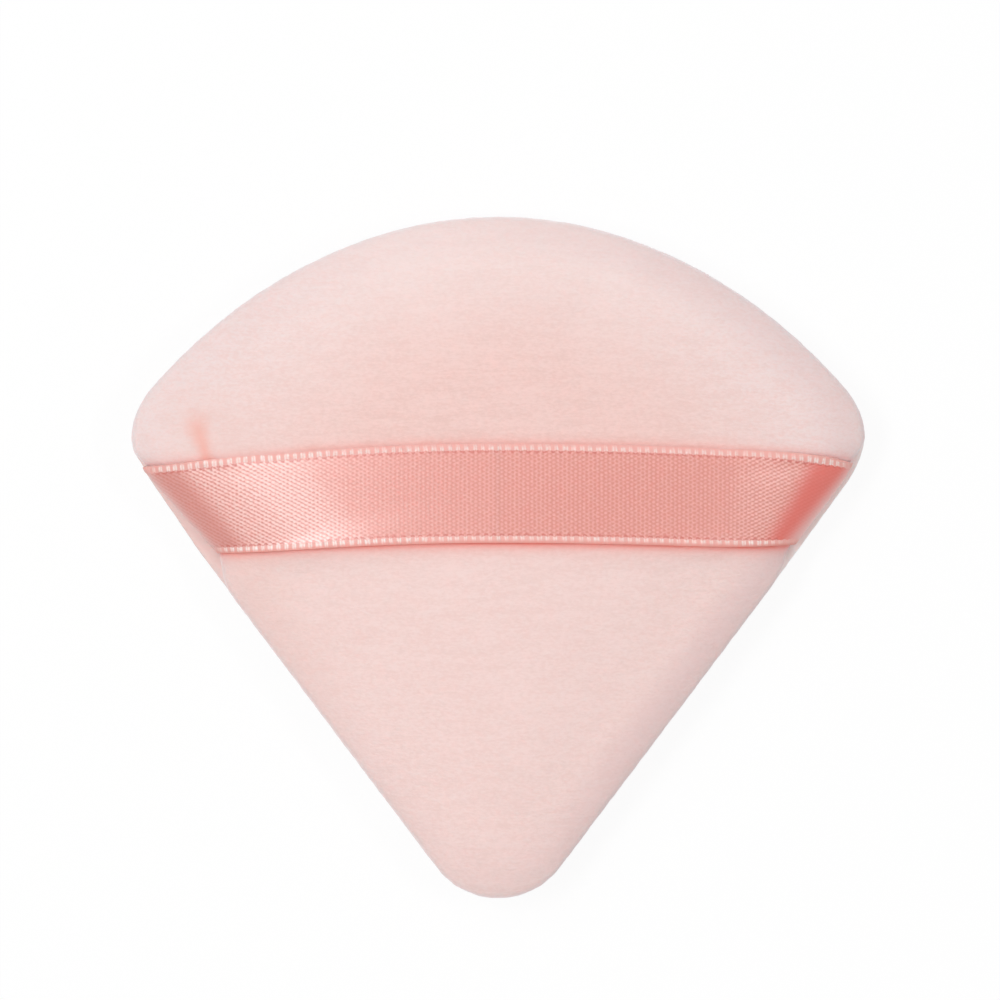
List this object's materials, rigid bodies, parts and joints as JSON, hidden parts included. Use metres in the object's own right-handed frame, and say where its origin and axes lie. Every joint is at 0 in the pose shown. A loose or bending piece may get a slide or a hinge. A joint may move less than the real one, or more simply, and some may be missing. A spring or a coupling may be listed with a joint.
{
  "type": "powder puff",
  "caption": "Fan-shaped velour powder puff: two domed panels sewn round a foam core, with a satin ribbon across the front as a finger strap that lifts off the pad.",
  "frame": {"origin": "on the surface that the puff lies on, below the middle of its outline", "axes": "+Z out of the front, where the ribbon is; +Y towards the arched edge, so the tip points to -Y; +X along the ribbon, to the right when the front is seen with the arch up"},
  "size_m": [0.075, 0.0696, 0.0126],
  "materials": {
    "velour": "matte",
    "foam": "matte",
    "satin_ribbon": "satin",
    "thread": "matte"
  },
  "bodies": {
    "pad": {"front_velour_panel": "velour", "rear_velour_panel": "velour", "foam_core": "foam", "seam_needle_thread": "thread", "seam_bobbin_thread": "thread", "closing_thread": "thread"},
    "strap": {"ribbon_strap": "satin_ribbon"}
  },
  "joints": [
    {"name": "strap_lift", "type": "slide", "parent": "pad", "child": "strap", "axis": [0, 0, 1], "range_m": [0, 0.008], "deforming": ["ribbon_strap"]}
  ]
}
